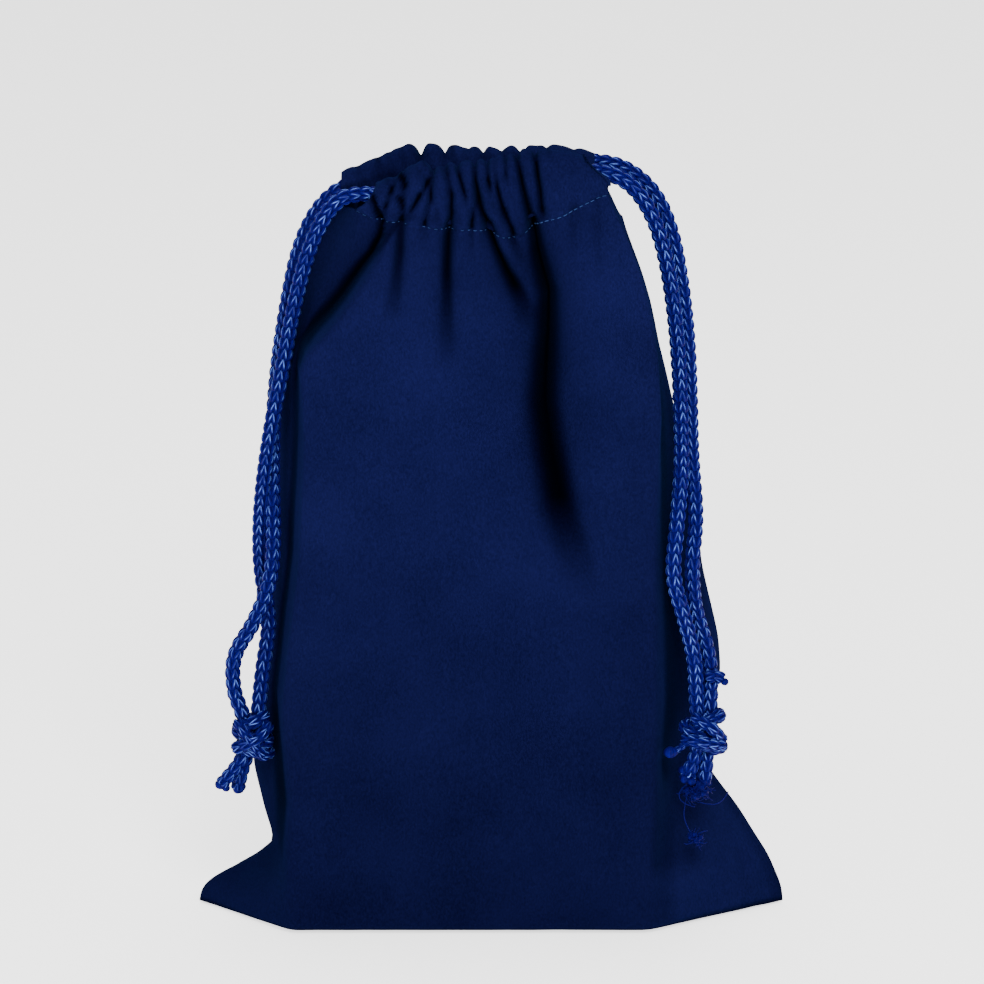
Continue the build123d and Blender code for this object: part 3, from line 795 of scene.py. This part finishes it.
def body_grid(outline, stitch_z, folds, seed):
    """The cloth from the bottom seam, under the bag, up its face to the casing's stitch line."""
    levels = np.concatenate([
        np.arange(0.0, 12.0, 0.8), np.arange(12.0, 196.0, 2.4), np.linspace(196.0, TOP_LEVEL, 56)])
    rows = len(levels)
    corners = [
        (LEFT_SEAM(levels), np.zeros(rows)),
        (outline["left_x"](levels), outline["left_depth"](levels)),
        (outline["right_x"](levels), outline["right_depth"](levels)),
        (RIGHT_SEAM(levels), np.zeros(rows)),
    ]
    x = np.zeros((rows, LAST_COLUMN + 1))
    depth = np.zeros_like(x)
    spans = [(0, COLUMNS_LEFT), (COLUMNS_LEFT, RIGHT_CREASE), (RIGHT_CREASE, LAST_COLUMN)]
    for (first, last), here, after in zip(spans, corners, corners[1:]):
        t = np.linspace(0.0, 1.0, last - first + 1)[None, :]
        x[:, first:last + 1] = here[0][:, None] * (1 - t) + after[0][:, None] * t
        depth[:, first:last + 1] = here[1][:, None] * (1 - t) + after[1][:, None] * t
    near_top = smoothstep(levels, 214.0, TOP_LEVEL)[:, None]
    bend_to_vent(x, depth, near_top, 0, VENT_LEFT, COLUMNS_LEFT, LEFT_VENT)
    bend_to_vent(x, depth, near_top, LAST_COLUMN, VENT_RIGHT, RIGHT_CREASE, RIGHT_VENT)
    soften_across(x, 9)
    soften_across(depth, 9)
    height = np.repeat(levels[:, None], LAST_COLUMN + 1, axis=1)
    columns = np.arange(LAST_COLUMN + 1)[None, :]
    across = columns / LAST_COLUMN

    # The flanks sink in a little, as gussets do, and the face swells a little.
    flank_left = np.clip(columns / COLUMNS_LEFT, 0, 1)
    flank_right = np.clip((LAST_COLUMN - columns) / COLUMNS_RIGHT, 0, 1)
    sink = np.sin(flank_left * math.pi) + np.sin(flank_right * math.pi)
    sink = sink * (smoothstep(height, 24, 60) * (1 - smoothstep(height, 200, 235)))
    x = x + np.where(columns < LAST_COLUMN / 2, 1.0, -1.0) * sink * 1.6
    face = np.sin(np.clip(flank_left + flank_right - 1, 0, 1) * math.pi / 2)
    swell = np.sin(np.clip((across - 0.17) / 0.66, 0, 1) * math.pi)
    depth = depth + swell * face * 0.9 * smoothstep(height, 8, 60) * (1 - near_top)

    # Folds, then slow unevenness.
    push, slide, painted_shade = fold_push(folds, x, height)
    on_face = smoothstep(depth, 6.0, 14.0)
    painted_shade = painted_shade * on_face
    calm = smoothstep(depth, 2.0, 8.0)
    depth = depth - push * on_face
    x = x + slide * on_face
    depth = depth + calm * 0.9 * cloth_noise(x, height, 42.0, seed, 1.6)
    depth = depth + calm * 0.22 * cloth_noise(x, height, 9.0, seed + 4)
    depth = depth + calm * 1.1 * near_top * cloth_noise(x, height, 4.2, seed + 7, 3.0)
    x = x + 0.35 * cloth_noise(depth, height, 16.0, seed + 9)

    # The ears crumple where the flat corners leave the filled part.
    ears = (1 - on_face) * (1 - smoothstep(height, 26.0, 70.0))
    pull = cloth_noise(x * 0.5 + height * 0.6, height - x * 0.3, 7.0, seed + 12, 1.2)
    depth = depth + ears * calm * 2.2 * pull

    # Painted shade: small hollows are painted darker, and so are the flanks, which turn away from the
    # light.
    hollow = soften_across(depth.copy(), 40) - depth
    painted_shade = np.maximum(painted_shade, np.clip(hollow / 2.0, 0, 1) * 0.8 * calm)
    on_flank = (1 - smoothstep(depth, 26.0, 32.0)) * smoothstep(depth, 0.0, 5.0)
    right_half = np.where(columns > LAST_COLUMN / 2, 1.0, 0.0)
    left_flank = (1 - right_half) * (0.16 + 0.3 * (1 - smoothstep(height, 30, 100)))
    right_flank = right_half * (0.4 * smoothstep(height, 34, 64) + 0.44 * smoothstep(depth, 10, 24))
    flank = on_flank * (left_flank + right_flank)
    flank = flank * smoothstep(height, 8, 30) * (1 - smoothstep(height, 196, 214))
    painted_shade = np.maximum(painted_shade, flank)

    # Painted shade: past each crease the upper flanks are painted darker, as if in the shade of the
    # face.
    upper = smoothstep(height, 186.0, 202.0)
    beyond = outline["left_x"](height) - x
    past_left = 0.22 + 0.5 * np.exp(-np.maximum(beyond - 2.4, 0) / 4.0)
    past_left = past_left * smoothstep(beyond, 1.0, 2.4)
    past_right = smoothstep(x - outline["right_x"](height), 0.6, 3.4)
    painted_shade = np.maximum(painted_shade, upper * past_left)
    painted_shade = np.maximum(painted_shade, 0.45 * upper * past_right * (1 - near_top))

    # Painted shade: the light comes from above, so the cloth is painted darker slowly downwards, and
    # darkest at its lower edge.
    low_shade = 0.45 * np.clip(1 - height / 200.0, 0, 1) * (1 - 0.75 * on_flank * right_half)
    painted_shade = np.maximum(painted_shade, low_shade)
    painted_shade = np.maximum(painted_shade, 0.85 * (1 - smoothstep(height, 0.3, 3.2)))

    # The stitch line rises towards both vents, and the cloth below it follows.
    lift = (stitch_z(x[-1:, :]) - TOP_LEVEL) * vent_slope()
    height = height + lift * smoothstep(height, 188.0, TOP_LEVEL) ** 1.3

    # The lower edge rolls under the bag.
    below = np.maximum(ROLL_RADIUS - height, 0.0)
    under = ROLL_RADIUS - np.sqrt(np.maximum(ROLL_RADIUS**2 - below**2, 0.0))
    depth = depth * (1 - under / HALF_DEPTH)
    return x, depth, height + FLOOR_HEIGHT, painted_shade


def vent_slope():
    """How much of the stitch line's rise each column takes: the vents fall away to the seams."""
    columns = np.arange(LAST_COLUMN + 1)
    left = 0.7 + 0.3 * smoothstep(columns, 0, VENT_LEFT)
    right = smoothstep(LAST_COLUMN - columns, 0, LAST_COLUMN - VENT_RIGHT)
    return (left * right)[None, :]


def bend_to_vent(x, depth, share, seam_column, vent_column, crease_column, vent):
    """Near the top, turns a flank's straight line into two: seam to vent and vent to casing."""
    seam_x = x[:, [seam_column]].copy()
    crease_x = x[:, [crease_column]].copy()
    crease_depth = depth[:, [crease_column]].copy()
    step = 1 if vent_column > seam_column else -1
    first = np.arange(seam_column, vent_column + step, step)
    t = np.linspace(0.0, 1.0, len(first))[None, :]
    x[:, first] = x[:, first] * (1 - share) + share * (seam_x * (1 - t) + vent[0] * t)
    depth[:, first] = depth[:, first] * (1 - share) + share * (vent[1] * t)
    rest = np.arange(vent_column, crease_column + step, step)
    t = np.linspace(0.0, 1.0, len(rest))[None, :]
    x[:, rest] = x[:, rest] * (1 - share) + share * (vent[0] * (1 - t) + crease_x * t)
    target = vent[1] * (1 - t) + crease_depth * t
    depth[:, rest] = depth[:, rest] * (1 - share) + share * target


def floor_grid(first_x, first_depth):
    """The cloth under the bag, from the bottom seam to the first row of the face."""
    t = np.linspace(0.0, 1.0, FLOOR_ROWS, endpoint=False)[:, None]
    seam_x = np.linspace(first_x[0], first_x[-1], len(first_x))[None, :]
    x = seam_x * (1 - t) + first_x[None, :] * t
    depth = first_depth[None, :] * t
    return x, depth, np.full_like(x, FLOOR_HEIGHT)


def rounded(stations, values, wanted):
    """Reads values off between stations of 0 to 1, with the corners averaged away."""
    dense = np.linspace(0.0, 1.0, 201)
    padded = np.pad(np.interp(dense, stations, values), 4, mode="edge")
    return np.interp(wanted, dense, np.convolve(padded, np.ones(9) / 9.0, "valid"))


def casing_grid(base_x, base_depth, base_z, top_z, folds, ends, seed):
    """The hem: up from the stitch line, over the top and down inside to the stitches again."""
    w = np.linspace(0.0, 1.0, CASING_ROWS + 1)[1:, None]
    left_end = base_x[0] + (ends[0] - base_x[0]) * smoothstep(w, 0.0, 0.5)
    right_end = base_x[-1] + (ends[1] - base_x[-1]) * smoothstep(w, 0.22, 0.5)
    share = (base_x - base_x[0])[None, :] / (base_x[-1] - base_x[0])
    x = left_end + (right_end - left_end) * share
    top = top_z(x)
    foot = base_z[None, :]
    # Section through the hem: outer bulge, folded top, inner wall, back to the stitches.
    stations = np.array([0.0, 0.14, 0.30, 0.42, 0.50, 0.58, 0.70, 0.86, 1.0])
    out = np.array([0.0, 1.0, 1.0, 0.62, 0.0, -0.52, -0.80, -0.62, 0.0])
    up = np.array([0.0, 0.22, 0.60, 0.90, 1.0, 0.93, 0.64, 0.26, 0.02])
    start = base_depth[None, :] - AXIS_Y
    outward = rounded(stations, out, w) * CASING_BULGE + start * (1 - smoothstep(w, 0.0, 0.16))
    inner_foot = 2.5 * smoothstep(w, 0.84, 1.0)
    z = foot + (top - foot) * rounded(stations, up, w)
    push, slide, painted_shade = fold_push(folds, x, z)
    outer_share = 1 - smoothstep(w, 0.46, 0.62) * 0.65
    over_top = np.exp(-((w - 0.5) / 0.11) ** 2)
    x = x + slide * outer_share
    depth = AXIS_Y + outward + inner_foot
    away = np.where(w < 0.5, 1.0, -1.0) * (1 - over_top)
    depth = depth - push * away * outer_share
    gathered = 1 - smoothstep(x, 16.0, 22.0)
    depth = depth + gathered * 2.2 * cloth_noise(x + 0.35 * z, z, 3.4, seed, 1.9)
    depth = depth + 0.3 * cloth_noise(x, z, 9.0, seed + 1)
    z = z - push * over_top * 0.9 + 0.35 * cloth_noise(x, depth, 8.0, seed + 3)
    z = z + over_top * gathered * 0.9 * cloth_noise(x, depth, 4.0, seed + 5)
    # Painted shade: small hollows of the hem are painted darker.
    hollow = soften_across(depth.copy(), 30) - depth
    painted_shade = np.maximum(painted_shade, np.clip(hollow / 0.85, 0, 1) * 0.95)
    # At rest the walls' outer surfaces stay clear of the cords between them.
    outside = (w < 0.47) & (z > foot + 5.0)
    inside = (w > 0.55) & (z > foot + 6.0)
    depth = np.where(outside, np.maximum(depth, AXIS_Y + CORD_ROOM), depth)
    depth = np.where(inside, np.minimum(depth, AXIS_Y - CORD_ROOM), depth)
    depth = np.where(w > 0.5, np.maximum(depth, 1.1), depth)
    # Painted shade: the folds' shade on the hem's outer side, and a little on its inner wall.
    return x, depth, z, np.maximum(painted_shade * outer_share, smoothstep(w, 0.62, 0.9) * 0.18)


def make_cloth(name, outline, side, stitch_z, top_z, folds, ends, seed):
    """One whole panel: under the bag, up its face and round its casing, as one sheet."""
    x, depth, z, painted_shade = body_grid(outline, stitch_z, folds, seed)
    under = floor_grid(x[0], depth[0])
    x = np.concatenate([under[0], x])
    depth = np.concatenate([under[1], depth])
    z = np.concatenate([under[2], z])
    painted_shade = np.concatenate([np.zeros_like(under[0]), painted_shade])
    rows, columns = x.shape
    points = np.stack([x, side * depth, z], axis=2).reshape(-1, 3)
    faces = grid_faces(np.arange(rows * columns).reshape(rows, columns), side)
    picked = np.arange(VENT_LEFT, VENT_RIGHT + 1)
    hem = casing_grid(x[-1, picked], depth[-1, picked], z[-1, picked], top_z, folds, ends, seed)
    hem_points = np.stack([hem[0], side * hem[1], hem[2]], axis=2)
    hem_index = len(points) + np.arange(hem_points.shape[0] * len(picked))
    hem_index = hem_index.reshape(hem_points.shape[0], len(picked))
    top_row = (rows - 1) * columns + picked
    faces += grid_faces(np.vstack([top_row, hem_index]), side)
    points = np.concatenate([points, hem_points.reshape(-1, 3)])
    cloth = mesh_object(name, points, faces)
    # The painted shade is stored on the cloth's points, for the velvet's colour.
    painted_shade_layer = cloth.data.attributes.new("painted_shade", "FLOAT", "POINT")
    painted_shade_layer.data.foreach_set("value", np.concatenate([painted_shade.ravel(), hem[3].ravel()]))
    stitch_line = np.stack([x[-1, picked], side * depth[-1, picked], z[-1, picked]], axis=1)
    return cloth, stitch_line


def grid_faces(index, side):
    """Faces of a grid of point numbers, turned to face outwards."""
    faces = []
    for row in range(index.shape[0] - 1):
        here, above = index[row], index[row + 1]
        for k in range(index.shape[1] - 1):
            corner = (int(here[k]), int(here[k + 1]), int(above[k + 1]), int(above[k]))
            faces.append(corner if side < 0 else corner[::-1])
    return faces


def thicken(made):
    """Gives a sheet of cloth its thickness, inwards."""
    solid = made.modifiers.new("thickness", "SOLIDIFY")
    solid.thickness = CLOTH_THICKNESS * MM
    solid.offset = -1.0
    solid.use_rim = True
    bpy.context.view_layer.objects.active = made
    with bpy.context.temp_override(object=made, active_object=made):
        bpy.ops.object.modifier_apply(modifier="thickness")


front_cloth, front_line = make_cloth(
    "front_cloth", FRONT_OUTLINE, -1, FRONT_STITCH_Z, FRONT_TOP_Z, FRONT_FOLDS, FRONT_ENDS, 3.0)
back_cloth, back_line = make_cloth(
    "back_cloth", BACK_OUTLINE, 1, BACK_STITCH_Z, BACK_TOP_Z, BACK_FOLDS, BACK_ENDS, 17.0)


STITCH_STEP = 0.1  # between points of the line that stitches are counted along
STITCH_RISE = 0.06
STITCH_DIP = 0.3  # at a stitch's two ends
GATHERED_RADIUS, FLAT_RADIUS = 0.14, 0.21


def make_stitches(name, line, side):
    """Small raised stitches along a casing's lower edge, following its folds."""
    mesh = TubeMesh()
    chance = random.Random(5)
    fine = even_points(line, STITCH_STEP)
    start = 4
    while start < len(fine) - 24:
        gathered = fine[start, 0] < 14.0
        length = chance.randint(12, 17) if gathered else chance.randint(17, 20)
        piece = fine[start:start + length:3].copy()
        start += length + (chance.randint(6, 11) if gathered else 3)
        if gathered and chance.random() < 0.3:
            continue  # drawn down into a pleat
        piece[:, 1] += side * STITCH_RISE
        piece[:, 2] += chance.uniform(-0.12, 0.12)
        t = np.linspace(-1.0, 1.0, len(piece))
        piece[:, 1] -= side * STITCH_DIP * t**4
        radius = GATHERED_RADIUS if gathered else FLAT_RADIUS
        half = radius * np.sqrt(np.maximum(1.0 - 0.75 * t**4, 0.1))
        sides, ups = frames_along(piece)
        mesh.add(tube_rings(piece, sides, ups, half, half, 7))
    return dress(mesh.build(name), pale_thread)


def blend_lip(piece):
    """Bakes a piece's placement into its points."""
    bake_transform(piece)


front_stitches = make_stitches("front_stitch_line", front_line, -1)
back_stitches = make_stitches("back_stitch_line", back_line, 1)
for cloth, stitches, side, lip, nodes in (
    (front_cloth, front_stitches, -1, "front_lip", ("front_panel", "front_casing")),
    (back_cloth, back_stitches, 1, "back_lip", ("back_panel", "back_casing")),
):
    thicken(cloth)
    dress(cloth, velvet)
    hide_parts(*nodes)
    blend_lip(cloth)
    blend_lip(stitches)
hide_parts("front_casing_stitches")
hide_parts("back_casing_stitches")

# The CAD's own seams stay, in the cloth's and the thread's colours.
for seam in ("left", "right", "bottom"):
    for part, material in (("allowance", velvet), ("thread", navy_thread)):
        node = bpy.data.objects[f"{seam}_seam_{part}"]
        node.data.materials.clear()
        node.data.materials.append(material)


# ------------------------------------------------------------------ stage and light

def floor_material():
    """A plain matt finish for the floor, lit a little from within like a light table."""
    material, _, _, shader = new_material("pale_floor")
    set_inputs(shader, {
        "Base Color": (0.93, 0.93, 0.93, 1.0), "Roughness": 0.9, "Specular IOR Level": 0.1,
        "Emission Color": (1.0, 1.0, 1.0, 1.0), "Emission Strength": 1.7})
    return material


FLOOR_REACH = 4
floor_mesh = bpy.data.meshes.new("floor")
floor_mesh.from_pydata(
    [(x * FLOOR_REACH, y * FLOOR_REACH, 0) for x, y in ((-1, -1), (1, -1), (1, 1), (-1, 1))],
    [], [(0, 1, 2, 3)])
floor = placed("floor", floor_mesh)
floor.data.materials.append(floor_material())


LIGHTS_AIM = Vector((0.0, 0.0, 0.13))


def soft_light(name, place, size, power):
    """A square area light that faces the pouch."""
    data = bpy.data.lights.new(name, "AREA")
    data.size = size
    data.energy = power
    light = placed(name, data)
    light.location = place
    light.rotation_euler = (LIGHTS_AIM - Vector(place)).to_track_quat("-Z", "Y").to_euler()


soft_light("key", (0.16, -1.05, 0.95), 0.45, 22.0)
soft_light("fill", (-1.3, -0.9, 0.6), 0.8, 4.0)
soft_light("top", (0.0, 0.45, 1.5), 1.0, 16.0)

world = bpy.data.worlds.new("studio")
world.use_nodes = True
set_inputs(world.node_tree.nodes["Background"], {"Color": (1.0, 1.0, 1.0, 1.0), "Strength": 0.6})
bpy.context.scene.world = world
